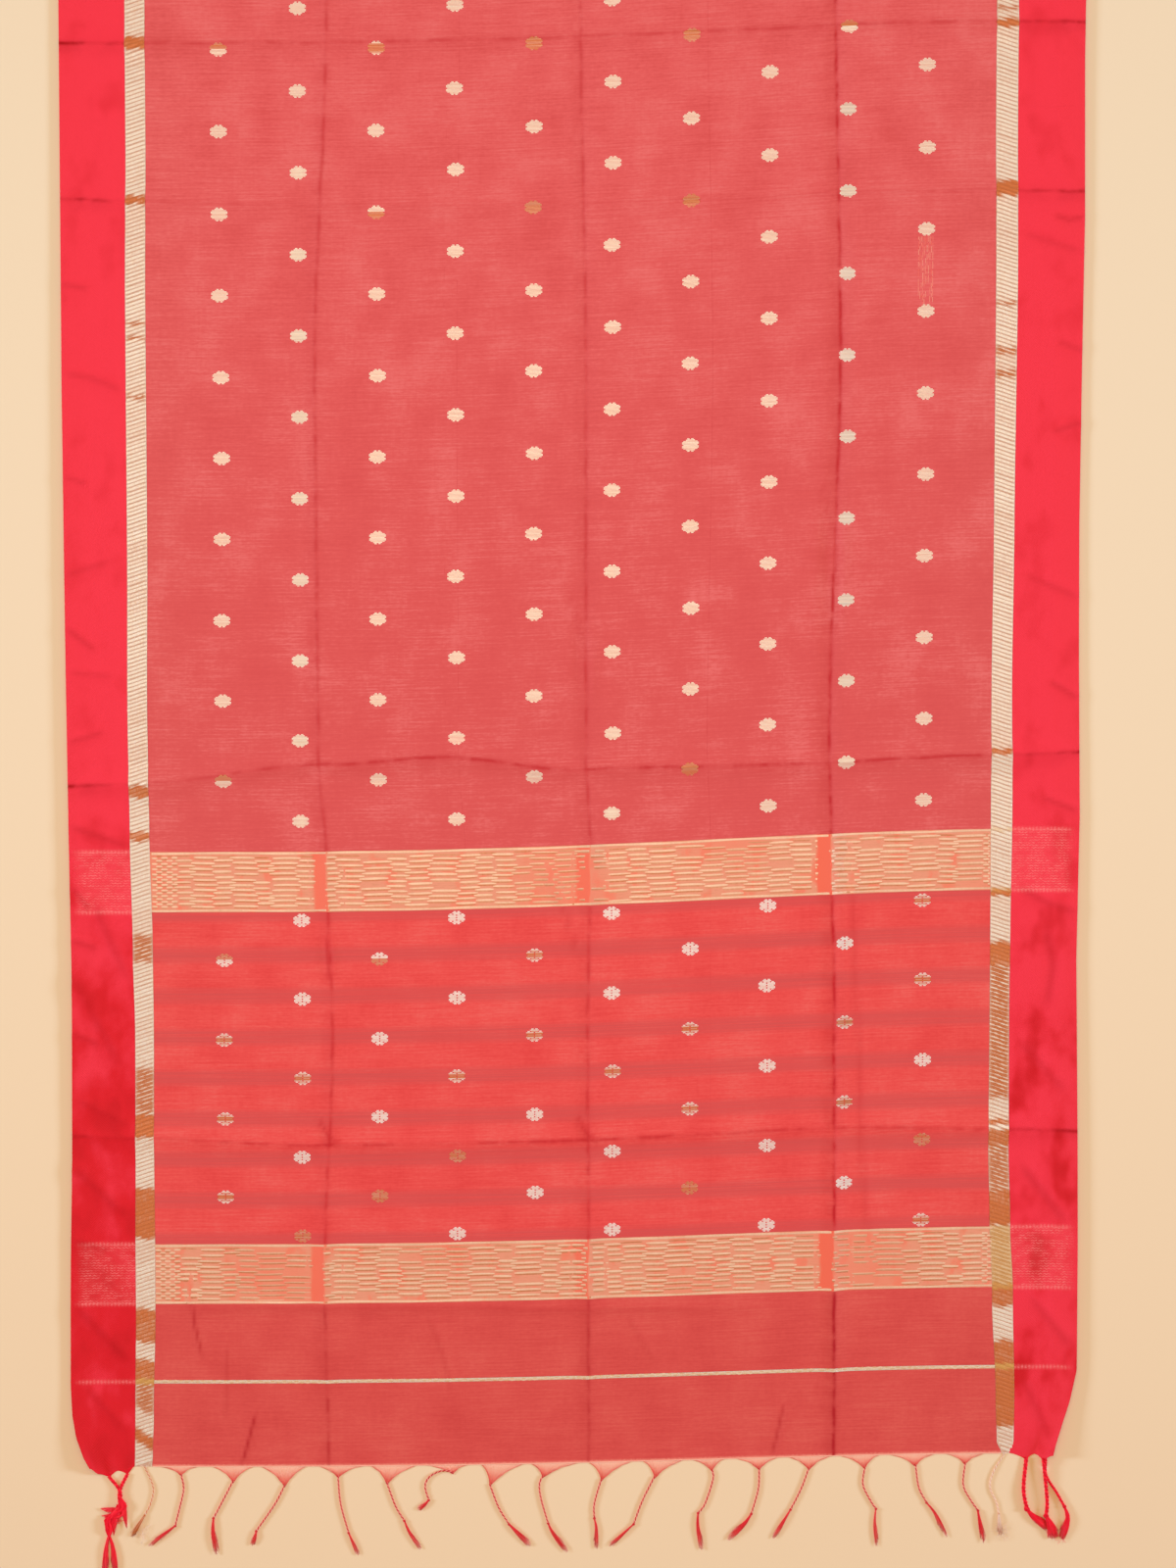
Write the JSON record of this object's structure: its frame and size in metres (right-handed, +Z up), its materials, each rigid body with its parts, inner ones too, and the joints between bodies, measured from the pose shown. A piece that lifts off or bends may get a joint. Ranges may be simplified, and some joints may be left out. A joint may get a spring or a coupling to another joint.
{
  "type": "saree",
  "caption": "Silk-cotton saree laid flat, with woven flower motifs, metallic zari stripes and bands, satin borders and a knotted tassel fringe on its end-piece.",
  "frame": {"origin": "centre of the laid saree's plan box, on the floor it lies on", "axes": "+Y runs along the warp from the fringed end-piece to the plain cut end, +X across the cloth, +Z up off the floor"},
  "size_m": [1.15, 5.659, 0.0115],
  "materials": {
    "ground_weave": "sheer plain weave",
    "pallu_weave": "striped plain weave",
    "panel_weave": "plain weave",
    "band_weave": "metallic brocade",
    "zari_thread": "metallic thread",
    "border_satin": "satin twill",
    "fringe_thread": "loose yarn"
  },
  "bodies": {
    "root": {"body_ground": "ground_weave", "upper_band": "band_weave", "pallu_ground": "pallu_weave", "lower_band": "band_weave", "panel_above_line": "panel_weave", "gold_line": "zari_thread", "panel_at_hem": "panel_weave", "zari_left": "zari_thread", "zari_right": "zari_thread", "border_left": "border_satin", "border_right": "border_satin", "fringe_ground": "fringe_thread", "fringe_zari_left": "zari_thread", "fringe_zari_right": "zari_thread", "fringe_border_left": "border_satin", "fringe_border_right": "border_satin"}
  },
  "joints": []
}
